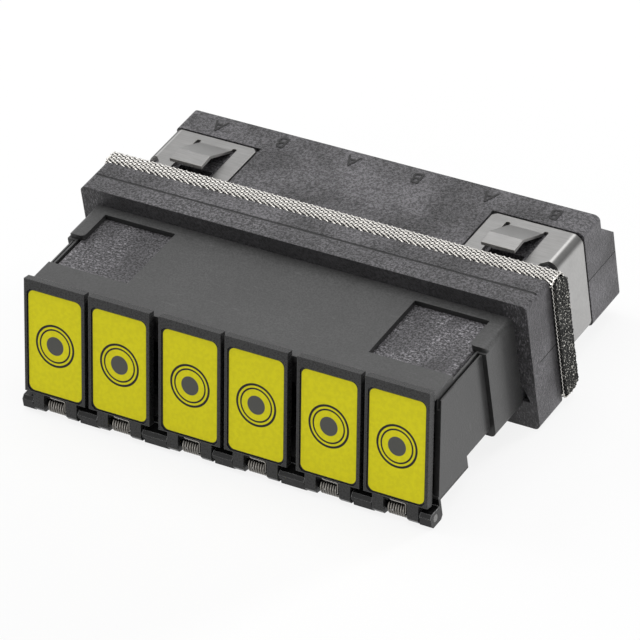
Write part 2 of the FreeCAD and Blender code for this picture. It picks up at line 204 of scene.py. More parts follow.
class Graph:
    """The node tree of a material or of the surroundings."""

    MIX_LOW, MIX_HIGH, MIX_RESULT = 6, 7, 2
    BEVEL_SAMPLES = 6
    EDGE_SPAN = (0.995, 0.8)

    def __init__(self, owner: Material | World) -> None:
        """Open the node tree of its owner.

        Args:
            owner: a material or the surroundings.
        """
        owner.use_nodes = True
        self.owner = owner
        self.tree = owner.node_tree

    @classmethod
    def material(cls, name: str) -> "Graph":
        """Start a new material of that name."""
        return cls(bpy.data.materials.new(name))

    def node(
        self, kind: str, settings: dict[str, Any], values: dict[Any, Any], output: int | str = 0
    ) -> Shade:
        """Add one node.

        Args:
            kind: the node's type.
            settings: its properties, set before its sockets.
            values: numbers, tuples or shades by socket name or index.
            output: name or index of the output that is returned.

        Returns:
            That output.
        """
        made = self.tree.nodes.new(kind)
        for key, value in settings.items():
            setattr(made, key, value)
        for key, value in values.items():
            self.feed(made.inputs[key], value)
        return Shade(self, made.outputs[output])

    def feed(self, socket: NodeSocket, value: Any) -> None:
        """Link a shade to a socket, or set a plain value on it.

        Args:
            socket: the input socket.
            value: a shade, a number or a tuple.
        """
        if isinstance(value, Shade):
            self.tree.links.new(value.socket, socket)
        else:
            socket.default_value = value

    def surface(self, **values: Any) -> None:
        """Set or link sockets of the principled shader.

        Args:
            values: shades, numbers or tuples by socket name, with _ for a space.
        """
        shader = self.tree.nodes["Principled BSDF"]
        for key, value in values.items():
            self.feed(shader.inputs[key.replace("_", " ")], value)

    def place(self) -> Shade:
        """Position on the piece, in the row frame.

        Returns:
            The position in millimetres.
        """
        where = self.node("ShaderNodeTexCoord", {}, {}, output="Object")
        values = {0: where, "Scale": 1.0 / MM}
        return self.node("ShaderNodeVectorMath", {"operation": "SCALE"}, values)

    def split(self, vector: Shade) -> tuple[Shade, Shade, Shade]:
        """Take a vector apart.

        Args:
            vector: the vector.

        Returns:
            Its three parts.
        """
        first = self.node("ShaderNodeSeparateXYZ", {}, {0: vector})
        parts = first.socket.node.outputs
        return (first, Shade(self, parts[1]), Shade(self, parts[2]))

    def noise(self, where: Shade, grain: float, detail: float = 2.0, stretch: Any = None) -> Shade:
        """Noise between 0 and 1.

        Args:
            where: position in millimetres.
            grain: size of the grains in millimetres.
            detail: number of finer layers.
            stretch: scale by axis applied to the position first.

        Returns:
            The noise value.
        """
        if stretch is not None:
            where = self.node("ShaderNodeMapping", {}, {"Vector": where, "Scale": stretch})
        values = {"Vector": where, "Scale": 1.0 / grain, "Detail": detail}
        return self.node("ShaderNodeTexNoise", {}, values)

    def cells(self, where: Shade, grain: float) -> Shade:
        """Distance from the middle of scattered cells of a given size in millimetres."""
        return self.node("ShaderNodeTexVoronoi", {}, {"Vector": where, "Scale": 1.0 / grain})

    def mix(self, share: Shade, low: Any, high: Any) -> Shade:
        """Colour between low and high by share."""
        values = {0: share, self.MIX_LOW: low, self.MIX_HIGH: high}
        return self.node("ShaderNodeMix", {"data_type": "RGBA"}, values, self.MIX_RESULT)

    def grey(self, tone: Shade, tint: Triple) -> Shade:
        """Colour of a given tone with a slight tint."""
        parts = {index: tone * part for index, part in enumerate(tint)}
        return self.node("ShaderNodeCombineColor", {}, parts)

    def flat_normal(self) -> Shade:
        """Normal of the surface without any relief."""
        return self.node("ShaderNodeNewGeometry", {}, {}, output="Normal")

    def rounded(self, radius: float) -> tuple[Shade, Shade]:
        """Normal with softened edges, and a mask of those edges.

        Args:
            radius: edge radius in millimetres.

        Returns:
            The softened normal and the mask, 0 on flats.
        """
        soft = self.node("ShaderNodeBevel", {"samples": self.BEVEL_SAMPLES}, {"Radius": radius * MM})
        ends = {0: soft, 1: self.flat_normal()}
        along = self.node("ShaderNodeVectorMath", {"operation": "DOT_PRODUCT"}, ends, output="Value")
        return soft, along.rise(*self.EDGE_SPAN)

    def bump(self, height: Shade, depth: float, normal: Shade) -> Shade:
        """Relief of a given depth in millimetres on top of a normal."""
        values = {"Distance": depth * MM, "Height": height, "Normal": normal}
        return self.node("ShaderNodeBump", {}, values)


@dataclass(frozen=True)
class Pattern:
    """Noise of one grain, drawn out by axis and sharpened between two levels."""

    grain: float
    span: tuple[float, float]
    detail: float = 3.0
    stretch: Triple | None = None

    def on(self, graph: Graph, where: Shade) -> Shade:
        """Strength of the pattern at a position in millimetres, between 0 and 1."""
        return graph.noise(where, self.grain, self.detail, self.stretch).rise(*self.span)


WORN_PATCH = Pattern(2.4, (0.42, 0.6), stretch=(-1.0, 0.6, 1.0))
WORN_STREAK = Pattern(0.3, (0.48, 0.66), stretch=(0.5, 1.6, 1.0))
RUBBED = Pattern(0.14, (0.5, 0.7), stretch=(1.6, 1.0, 0.5))
SCUFF = Pattern(0.5, (0.6, 0.75), detail=4.0, stretch=(0.35, 2.6, 0.35))
FOAM_SPECK = Pattern(0.14, (0.58, 0.65), detail=2.0)


@dataclass(frozen=True)
class Seam:
    """A straight parting line of a moulding, where one coordinate is above a level."""

    axis: Axis
    at: float
    half_width: float
    along: Axis
    above: float
    fade: float = 0.05
    core: float = 0.4

    def mask(self, parts: tuple[Shade, Shade, Shade]) -> Shade:
        """Mark the line.

        Args:
            parts: the three coordinates of the position in millimetres.

        Returns:
            1 on the line and 0 away from it.
        """
        off = abs(parts[self.axis] - self.at)
        line = off.rise(self.half_width, self.half_width * self.core)
        return line * parts[self.along].rise(self.above, self.above + self.fade)


@dataclass(frozen=True)
class MouldedPlastic:
    """Black moulded plastic, sparked or satin, with soft edges, parting lines and painted light:
    highlights on edges, shade on forward faces.
    """

    name: str
    tone: float
    grain: float
    relief: float
    roughness: float
    cloud: float = 0.15
    cloud_grain: float = 5.0
    speckle: float = 0.3
    scratch: float = 0.0
    edge: float = 0.12
    edge_lift: float = 0.6
    tint: Triple = (1.0, 0.985, 1.02)
    seams: tuple[Seam, ...] = ()
    gloss: float = 0.3
    plain_front: float = 0.0
    plain_side: float = 0.0
    floor_below: float | None = None
    rubbed_beyond: float | None = None
    polish_below: float | None = None

    CLOUD_SPAN = (0.3, 0.7)
    CLOUD_ON_SPECKLE = 0.5
    CLOUD_ROUGHNESS = 0.06
    SPARK_SPAN = (0.4, 0.64)
    SPARK_ROUGHNESS = 0.16
    COARSE_SHARE, FINE_SHARE = 0.55, 0.45
    FINE_SIZE, PIT_SIZE = 0.45, 1.6
    SPARK_HEIGHT, PIT_HEIGHT = 0.7, 0.5
    FRONT_SPAN = (-0.6, -0.95)
    SIDE_SPAN = (0.6, 0.95)
    UP_SPAN = (0.8, 0.95)
    FLOOR_FADE = 0.1
    WORN_SPARK, WORN_LINES, WORN_LIFT = 0.4, 1.5, 0.08
    RUBBED_FADE, RUBBED_LIFT = 0.2, 2.6
    SEAM_DARKNESS, SEAM_HEIGHT = 0.92, 2.0
    POLISH_FADE, POLISH_DARKNESS, POLISH_ROUGHNESS = 0.06, 0.85, 0.26
    GLINT_RADIUS, GLINT_SPAN, GLINT_TONE = 0.15, (0.2, 0.5), 0.3

    def material(self) -> Material:
        """Make the material.

        Returns:
            The plastic, with its grain, wear and parting lines.
        """
        graph = Graph.material(self.name)
        where = graph.place()
        cloud = Pattern(self.cloud_grain, self.CLOUD_SPAN).on(graph, where) - MIDDLE
        spark = self.spark(graph, where)
        pits = graph.cells(where, self.grain * self.PIT_SIZE)
        normal, edge = graph.rounded(self.edge)
        sideways, forward, upward = graph.split(graph.flat_normal())
        # Faces that look forward: painted shade darkens their tone, and their speckle is fainter.
        front = forward.rise(*self.FRONT_SPAN) * self.plain_front
        side = abs(sideways).most(forward).rise(*self.SIDE_SPAN) * self.plain_side
        plain = 1.0 + cloud * self.CLOUD_ON_SPECKLE - front - side
        speckle = (spark - MIDDLE) * self.speckle * plain
        # Edges get a lighter tone: a painted highlight.
        lift = 1.0 + cloud * self.cloud + speckle + edge * self.edge_lift
        # The factor (1.0 - front) is the painted shade on faces that look forward.
        tone = self.tone * lift * (1.0 - front)
        height = spark * self.SPARK_HEIGHT + pits * self.PIT_HEIGHT
        roughness = self.roughness + (spark - MIDDLE) * self.SPARK_ROUGHNESS
        roughness = roughness + cloud * self.CLOUD_ROUGHNESS
        parts = graph.split(where)
        # Upward floors below a level get a lighter tone: painted sheen in patches and an even painted
        # lift of light, with streaky wear.
        if self.floor_below is not None:
            level = parts[Axis.Z].rise(self.floor_below, self.floor_below - self.FLOOR_FADE)
            floor = upward.rise(*self.UP_SPAN) * level
            tone = tone * (1.0 + floor * self.wear(graph, where, spark))
        if self.rubbed_beyond is not None:
            start = self.rubbed_beyond - self.RUBBED_FADE
            corner = abs(parts[Axis.X]).rise(start, self.rubbed_beyond + self.RUBBED_FADE)
            tone = tone + RUBBED.on(graph, where) * corner * front * (self.tone * self.RUBBED_LIFT)
        if self.scratch:
            tone = tone + SCUFF.on(graph, where) * (self.scratch * self.tone)
        if self.seams:
            line = reduce(Shade.most, [seam.mask(parts) for seam in self.seams])
            tone = tone * (1.0 - line * self.SEAM_DARKNESS)
            height = height - line * self.SEAM_HEIGHT
        # Below a level the plastic is polished, with lower roughness; its tone is darkened there as
        # painted shade, and a painted glint is added on its upper edges.
        if self.polish_below is not None:
            start = self.polish_below + self.POLISH_FADE
            polish = parts[Axis.Z].rise(start, self.polish_below - self.POLISH_FADE)
            tone = tone * (1.0 - polish * self.POLISH_DARKNESS) + self.glint(graph) * polish
            roughness = roughness - polish * self.POLISH_ROUGHNESS
        graph.surface(
            Base_Color=graph.grey(tone, self.tint),
            Roughness=roughness,
            Specular_IOR_Level=self.gloss,
            Normal=graph.bump(height, self.relief, normal),
        )
        return graph.owner

    def spark(self, graph: Graph, where: Shade) -> Shade:
        """Grain that the spark-cut mould leaves.

        Args:
            graph: the material's nodes.
            where: position in millimetres.

        Returns:
            The grain, between 0 and 1.
        """
        coarse = graph.noise(where, self.grain)
        fine = graph.noise(where, self.grain * self.FINE_SIZE)
        return (coarse * self.COARSE_SHARE + fine * self.FINE_SHARE).rise(*self.SPARK_SPAN)

    def wear(self, graph: Graph, where: Shade, spark: Shade) -> Shade:
        """Lift of a floor's tone: streaky wear, patches of painted sheen and an even painted lift of
        light.
        """
        streaks = spark * self.WORN_SPARK + WORN_STREAK.on(graph, where) * self.WORN_LINES
        return WORN_PATCH.on(graph, where) * streaks + self.WORN_LIFT

    def glint(self, graph: Graph) -> Shade:
        """Painted highlight: a pale line along the upper edges of polished pieces."""
        bent, brink = graph.rounded(self.GLINT_RADIUS)
        return brink * graph.split(bent)[Axis.Z].rise(*self.GLINT_SPAN) * self.GLINT_TONE


@dataclass(frozen=True)
class SheetSteel:
    """Stainless steel, brushed along one axis, with darker cut edges; optionally rougher bends with
    painted highlight and dark reflection bands, and painted light on the sides.
    """

    name: str
    tone: float
    roughness: float
    brush: Triple
    grain: float = 0.2
    edge: float = 0.05
    burr: Triple = (0.22, 0.19, 0.15)
    tint: Triple = (1.0, 0.99, 0.975)
    bends: bool = False
    bare_beyond: float = 0.0

    LINE_DETAIL, LINE_DEPTH, LINE_ROUGHNESS = 4.0, 0.003, 0.2
    PATCH_GRAIN = 1.6
    BASE_SHARE, LINE_SHARE, PATCH_SHARE, BURR_SHARE = 0.7, 0.4, 0.2, 0.5
    BRIGHT_BEND, BRIGHT_FROM, BRIGHT_TO = 0.6, (0.08, 0.2), (0.4, 0.28)
    DARK_BEND, DARK_FROM, DARK_TO = 0.5, (0.34, 0.5), (0.95, 0.8)
    SIDE_LIFT, SIDE_SPAN = 0.65, (0.9, 1.0)
    BEND_ROUGHNESS, ROUGH_FROM, ROUGH_TO = 0.2, (0.05, 0.2), (0.97, 0.85)
    BARE_FADE, COVERED_SHARE = 0.1, 0.1

    def material(self) -> Material:
        """Make the material.

        Returns:
            The steel, with its brushing, cut edges and painted light on its bends and sides.
        """
        graph = Graph.material(self.name)
        where = graph.place()
        lines = graph.noise(where, self.grain, self.LINE_DETAIL, self.brush)
        patch = graph.noise(where, self.PATCH_GRAIN)
        normal, edge = graph.rounded(self.edge)
        tone = self.tone * (self.BASE_SHARE + lines * self.LINE_SHARE + patch * self.PATCH_SHARE)
        roughness = self.roughness + (lines - MIDDLE) * self.LINE_ROUGHNESS
        # Painted reflections on the bends: a bright band and a dark band by the surface's angle, and
        # painted light on faces that look along X; the bends are also rougher.
        if self.bends:
            side = abs(graph.split(graph.flat_normal())[Axis.X])
            bright = side.rise(*self.BRIGHT_FROM) * side.rise(*self.BRIGHT_TO) * self.BRIGHT_BEND
            dark = side.rise(*self.DARK_FROM) * side.rise(*self.DARK_TO) * self.DARK_BEND
            tone = tone * (1.0 + bright - dark + side.rise(*self.SIDE_SPAN) * self.SIDE_LIFT)
            bent = side.rise(*self.ROUGH_FROM) * side.rise(*self.ROUGH_TO)
            roughness = roughness + bent * self.BEND_ROUGHNESS
        # Painted shade: the pin is dark along its middle, inside the knuckles, and keeps its full tone
        # only towards its ends.
        if self.bare_beyond:
            along = abs(graph.split(where)[Axis.X])
            bare = along.rise(self.bare_beyond - self.BARE_FADE, self.bare_beyond)
            tone = tone * (self.COVERED_SHARE + bare * (1.0 - self.COVERED_SHARE))
        graph.surface(
            Base_Color=graph.mix(edge * self.BURR_SHARE, graph.grey(tone, self.tint), (*self.burr, 1.0)),
            Metallic=1.0,
            Roughness=roughness,
            Normal=graph.bump(lines, self.LINE_DEPTH, normal),
        )
        return graph.owner


@dataclass(frozen=True)
class LabelFilm:
    """Printed film: a coloured field, a ring round a dot, and a dark edge line that is partly printed
    border and partly painted shade of the recess.
    """

    field: Triple = (0.77, 0.705, 0.007)
    blotch: Triple = (0.6, 0.54, 0.008)
    ink: Triple = (0.012, 0.012, 0.016)
    dot: Triple = (0.085, 0.085, 0.08)
    half_width: float = 2.65
    low: float = 0.1
    high: float = 9.2
    corner: float = 0.65
    border: float = 0.09
    rings: tuple[tuple[float, float], ...] = ((1.78, 0.1), (1.43, 0.075))
    dot_radius: float = 0.82
    blur: float = 0.02
    dot_blur: float = 0.03

    MOTTLE_GRAIN, MOTTLE_DETAIL, MOTTLE_DEPTH = 0.35, 3.0, 0.006
    BLOTCH_SPAN, BLOTCH_SHARE = (0.35, 0.65), 0.3
    ROUGHNESS, MOTTLE_ROUGHNESS, GLOSS = 0.42, 0.12, 0.15

    def material(self, number: int) -> Material:
        """Make the material of one label.

        Args:
            number: the door's number, from 1.

        Returns:
            The material, its print centred on that label.
        """
        graph = Graph.material(f"label_film_{number}")
        where = graph.place()
        x, y, z = graph.split(where)
        across = x - PORT_X[number - 1]
        up = (y - DOOR_FOOT[0]) * math.sin(DOOR_SLANT) + (z - DOOR_FOOT[1]) * math.cos(DOOR_SLANT)
        rise = up - (self.low + self.high) / 2
        inner_x = self.half_width - self.corner
        inner_z = (self.high - self.low) / 2 - self.corner
        over_x = (abs(across) - inner_x).most(0.0)
        over_z = (abs(rise) - inner_z).most(0.0)
        flat = (abs(across) - inner_x).most(abs(rise) - inner_z)
        reach = (over_x * over_x + over_z * over_z).math("SQRT") + flat.least(0.0)
        # The dark line round the field is partly printed border and partly painted shade of the recess
        # that the label sits in.
        rim = self.corner - self.border
        ink = reach.rise(rim - self.blur, rim + self.blur)
        radius = (across * across + rise * rise).math("SQRT")
        for middle, half in self.rings:
            ink = ink.most(abs(radius - middle).rise(half + self.blur, half - self.blur))
        dot = radius.rise(self.dot_radius + self.dot_blur, self.dot_radius - self.dot_blur)
        mottle = graph.noise(where, self.MOTTLE_GRAIN, self.MOTTLE_DETAIL)
        share = mottle.rise(*self.BLOTCH_SPAN) * self.BLOTCH_SHARE
        film = graph.mix(share, (*self.field, 1.0), (*self.blotch, 1.0))
        colour = graph.mix(ink, graph.mix(dot, film, (*self.dot, 1.0)), (*self.ink, 1.0))
        graph.surface(
            Base_Color=colour,
            Roughness=self.ROUGHNESS + mottle * self.MOTTLE_ROUGHNESS,
            Specular_IOR_Level=self.GLOSS,
            Normal=graph.bump(mottle, self.MOTTLE_DEPTH, graph.flat_normal()),
        )
        return graph.owner


@dataclass(frozen=True)
class OpenFoam:
    """Dark open-cell foam with pale cell walls."""

    name: str = "open_foam"
    cell: float = 0.2
    cell_depth: float = 0.04
    rim: tuple[float, float] = (0.25, 0.5)
    hollow: Triple = (0.008, 0.008, 0.0075)
    wall: Triple = (0.5, 0.49, 0.45)
    roughness: float = 0.9

    def material(self) -> Material:
        """Make the material.

        Returns:
            The foam, dark with pale walls.
        """
        graph = Graph.material(self.name)
        where = graph.place()
        cell = graph.cells(where, self.cell)
        wall = cell.rise(*self.rim) * FOAM_SPECK.on(graph, where)
        graph.surface(
            Base_Color=graph.mix(wall, (*self.hollow, 1.0), (*self.wall, 1.0)),
            Roughness=self.roughness,
            Normal=graph.bump(cell, self.cell_depth, graph.flat_normal()),
        )
        return graph.owner


@dataclass(frozen=True)
class Ceramic:
    """Ground zirconia, off white with a faint cloud."""

    name: str = "sleeve_ceramic"
    tone: float = 0.72
    tint: Triple = (1.0, 0.985, 0.94)
    roughness: float = 0.2
    edge: float = 0.04

    CLOUD_GRAIN, CLOUD_DETAIL, CLOUD_DEPTH = 0.6, 3.0, 0.002
    CLOUD_TONE, CLOUD_ROUGHNESS = 0.12, 0.1

    def material(self) -> Material:
        """Make the material.

        Returns:
            The ceramic, with its cloud.
        """
        graph = Graph.material(self.name)
        cloud = graph.noise(graph.place(), self.CLOUD_GRAIN, self.CLOUD_DETAIL)
        normal, _ = graph.rounded(self.edge)
        graph.surface(
            Base_Color=graph.grey(self.tone + cloud * self.CLOUD_TONE, self.tint),
            Roughness=self.roughness + cloud * self.CLOUD_ROUGHNESS,
            Normal=graph.bump(cloud, self.CLOUD_DEPTH, normal),
        )
        return graph.owner


def set_mode(mode: str) -> None:
    """Go to edit mode or to object mode."""
    bpy.ops.object.mode_set(mode=mode)


def deselect() -> None:
    """Leave edit mode with nothing selected."""
    if bpy.context.object and bpy.context.object.mode != "OBJECT":
        set_mode("OBJECT")
    bpy.ops.object.select_all(action="DESELECT")


def select(obj: Object) -> None:
    """Select one object and make it active.

    Args:
        obj: the object.
    """
    deselect()
    obj.select_set(True)
    bpy.context.view_layer.objects.active = obj


def name_new(name: str) -> Object:
    """Name the object that was just added or made, and its mesh.

    Args:
        name: the name of both.

    Returns:
        The object.
    """
    obj = bpy.context.object
    obj.name = name
    obj.data.name = name
    return obj


def settle(obj: Object) -> None:
    """Put an object's place, turn and scale into its mesh."""
    select(obj)
    bpy.ops.object.transform_apply(location=True, rotation=True, scale=True)


def cuboid(name: str, low: Vector, high: Vector) -> Object:
    """Add a cuboid between two corners in metres.

    Args:
        name: the object's name.
        low: lowest corner.
        high: highest corner.

    Returns:
        The object, with its place in its mesh.
    """
    deselect()
    bpy.ops.mesh.primitive_cube_add(size=1.0, location=(low + high) / 2)
    obj = name_new(name)
    obj.scale = high - low
    settle(obj)
    return obj


def pick(obj: Object, kind: str, wanted: Callable[[Any], bool]) -> None:
    """Enter edit mode with some edges or faces selected.

    Args:
        obj: the object.
        kind: "EDGE" or "FACE".
        wanted: says whether an edge or face of its mesh is selected.
    """
    select(obj)
    set_mode("EDIT")
    bpy.ops.mesh.select_mode(type=kind)
    bpy.ops.mesh.select_all(action="DESELECT")
    set_mode("OBJECT")
    for item in obj.data.edges if kind == "EDGE" else obj.data.polygons:
        item.select = wanted(item)
    set_mode("EDIT")


def long_edges(obj: Object) -> None:
    """Enter edit mode with the edges that run along X selected.

    Args:
        obj: the object.
    """

    def lengthwise(edge: MeshEdge) -> bool:
        """Whether an edge runs along X."""
        first, last = (obj.data.vertices[index].co for index in edge.vertices)
        return abs(last.x - first.x) > ALONG_X * (last - first).length

    pick(obj, "EDGE", lengthwise)


def end_faces(obj: Object) -> None:
    """Enter edit mode with the faces that look along X selected."""
    pick(obj, "FACE", lambda face: abs(face.normal.x) > ALONG_X)


def modify(obj: Object, kind: str, **settings: Any) -> None:
    """Add a modifier with its settings and apply it.

    Args:
        obj: the object.
        kind: the modifier's type.
        settings: its properties.
    """
    select(obj)
    modifier = obj.modifiers.new(kind.lower(), kind)
    for key, value in settings.items():
        setattr(modifier, key, value)
    bpy.ops.object.modifier_apply(modifier=modifier.name)


def cut(obj: Object, cutter: Object) -> None:
    """Take one object's volume out of another and delete the cutter."""
    modify(obj, "BOOLEAN", operation="DIFFERENCE", object=cutter, solver="EXACT")
    bpy.data.objects.remove(cutter)


def draw_wire(name: str, points: list[Vector], radius: float, fineness: int) -> Object:
    """Draw a round wire through points.

    Args:
        name: the object's name.
        points: places in metres, in order.
        radius: radius of the wire in metres.
        fineness: bevel resolution of the wire's section.

    Returns:
        The wire as a mesh.
    """
    deselect()
    bpy.ops.mesh.primitive_plane_add(size=radius, location=points[0])
    obj = name_new(name)
    settle(obj)
    set_mode("EDIT")
    bpy.ops.mesh.select_mode(type="VERT")
    bpy.ops.mesh.select_all(action="SELECT")
    bpy.ops.mesh.merge(type="CENTER")
    for before, after in zip(points, points[1:]):
        bpy.ops.mesh.extrude_vertices_move(TRANSFORM_OT_translate={"value": after - before})
    set_mode("OBJECT")
    bpy.ops.object.convert(target="CURVE")
    obj = bpy.context.object
    obj.data.bevel_depth = radius
    obj.data.bevel_resolution = fineness
    obj.data.use_fill_caps = True
    bpy.ops.object.convert(target="MESH")
    obj = name_new(name)
    turn_outward(obj)
    bpy.ops.object.shade_smooth_by_angle(angle=WIRE_ANGLE)
    return obj


def turn_outward(obj: Object) -> None:
    """Merge doubles and turn all faces outwards.

    Args:
        obj: the object.
    """
    select(obj)
    set_mode("EDIT")
    bpy.ops.mesh.select_all(action="SELECT")
    bpy.ops.mesh.remove_doubles(threshold=DOUBLES)
    bpy.ops.mesh.normals_make_consistent(inside=False)
    set_mode("OBJECT")


def twin(obj: Object, name: str, shift: Vector) -> Object:
    """Copy an object with its own mesh, moved by a shift.

    Args:
        obj: the object to copy.
        name: the copy's name.
        shift: how far the copy's mesh moves, in metres.

    Returns:
        The copy.
    """
    select(obj)
    bpy.ops.object.duplicate(linked=False)
    made = name_new(name)
    made.location += shift
    settle(made)
    return made


def merge(name: str, pieces: list[Object]) -> Object:
    """Join several objects into one mesh.

    Args:
        name: the name of the whole.
        pieces: the objects to join.

    Returns:
        The whole, with its place in its mesh.
    """
    deselect()
    for piece in pieces:
        piece.select_set(True)
    bpy.context.view_layer.objects.active = pieces[0]
    bpy.ops.object.join()
    made = name_new(name)
    settle(made)
    return made


def dress(name: str, material: Material) -> None:
    """Give a CAD node its material.

    Args:
        name: the node's name.
        material: its material.
    """
    obj = next(o for o in bpy.data.objects if o.get("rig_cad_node") == name)
    obj.data.materials.clear()
    obj.data.materials.append(material)
    LOG.info("%s: %s", name, material.name)


def present(obj: Object, material: Material) -> Object:
    """Give a new piece its material.

    Args:
        obj: the piece.
        material: its material.

    Returns:
        The piece.
    """
    obj.data.materials.clear()
    obj.data.materials.append(material)
    LOG.info("%s: %s", obj.name, material.name)
    return obj


FLANGE_SEAM = Seam(Axis.Y, at=-1.8, half_width=0.15, along=Axis.Z, above=6.0)
SIDE_SEAM = Seam(Axis.Z, at=-0.05, half_width=0.07, along=Axis.Y, above=-2.6)
SPARKED = MouldedPlastic(
    name="sparked_plastic",
    tone=0.08,
    grain=0.2,
    relief=0.035,
    roughness=0.46,
    cloud=0.4,
    speckle=1.5,
    edge=0.08,
    edge_lift=0.1,
    tint=(1.0, 0.97, 1.03),
    seams=(FLANGE_SEAM, SIDE_SEAM),
    plain_front=0.55,
    plain_side=0.5,
    floor_below=4.6,
    rubbed_beyond=19.0,
)
SPARKED_REAR = replace(
    SPARKED,
    name="sparked_plastic_rear",
    tone=0.078,
    relief=0.03,
    # Strong cloud: random tone whose large swings stand in for patches of sheen, a painted sheen.
    cloud=0.85,
    speckle=1.35,
    plain_front=0.0,
    plain_side=0.6,
    floor_below=None,
    rubbed_beyond=None,
)
SATIN = MouldedPlastic(
    name="satin_plastic",
    tone=0.064,
    grain=0.16,
    relief=0.008,
    roughness=0.42,
    cloud=0.14,
    speckle=0.4,
    scratch=0.3,
    edge=0.06,
    edge_lift=0.5,
    tint=WHITE,
    plain_front=0.7,
    polish_below=-4.3,
)
DOOR_PLASTIC = MouldedPlastic(
    name="door_plastic",
    tone=0.022,
    grain=0.16,
    relief=0.005,
    roughness=0.32,
    cloud=0.1,
    speckle=0.3,
    edge=0.07,
    edge_lift=4.0,
    tint=WHITE,
)
# Painted shade: the letters are darker than the housing, standing in for their shadowed outlines, and
# their edges carry painted highlights.
LETTER_PLASTIC = MouldedPlastic(
    name="letter_plastic",
    tone=0.012,
    grain=0.2,
    relief=0.01,
    roughness=0.4,
    edge=0.05,
    edge_lift=2.0,
)
CLIP_STEEL = SheetSteel("clip_steel", tone=0.265, roughness=0.36, brush=(0.12, 2.4, 0.8), bends=True)
SPRING_STEEL = SheetSteel(
    name="spring_steel",
    tone=0.18,
    roughness=0.26,
    brush=(2.0, 0.4, 0.4),
    edge=0.008,
    tint=(1.0, 0.95, 0.87),
)
PIN_STEEL = SheetSteel(
    name="pin_steel",
    tone=0.22,
    roughness=0.25,
    brush=(0.1, 1.5, 1.5),
    bare_beyond=18.6,
)
KNIT_STEEL = SheetSteel(
    name="knit_steel",
    tone=0.8,
    roughness=0.24,
    brush=(1.0, 1.0, 1.0),
    tint=(1.0, 0.975, 0.93),
)
LINING = MouldedPlastic("sleeve_lining", tone=0.008, grain=0.1, relief=0.01, roughness=0.7)


@dataclass
class Housing:
    """The two moulded halves, with a letter at every rear port."""

    letter_size: float = 1.95
    letter_y: float = 9.65
    letter_relief: float = 0.06
    top: float = 4.68
    letters: str = "AB"

    def build(self) -> None:
        """Dress the halves and set the letters on the rear half's top."""
        dress("front_housing", SPARKED.material())
        rear = SPARKED_REAR.material()
        dress("rear_housing", rear)
        # The letters' dark tone is painted shade of their outlines, not a different plastic.
        ink = LETTER_PLASTIC.material()
        for number, x in enumerate(PORT_X, start=1):
            sign = self.letters[(number - 1) % len(self.letters)]
            letter = self.letter(sign, f"port_letter_{number}", x)
            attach(present(letter, ink), Body.HOUSING.value)

    def letter(self, sign: str, name: str, x: float) -> Object:
        """Raise one letter that reads upright from behind.

        Args:
            sign: the letter.
            name: the piece's name.
            x: place along the row in millimetres.

        Returns:
            The letter's mesh.
        """
        deselect()
        bpy.ops.object.text_add()
        obj = bpy.context.object
        obj.data.body = sign
        obj.data.size = self.letter_size * MM
        obj.data.extrude = self.letter_relief * MM
        obj.data.align_x = "CENTER"
        obj.data.align_y = "CENTER"
        bpy.ops.object.convert(target="MESH")
        obj = name_new(name)
        obj.rotation_euler = (0.0, 0.0, math.pi)
        obj.location = Vector((x, self.letter_y, self.top)) * MM
        settle(obj)
        turn_outward(obj)
        return obj


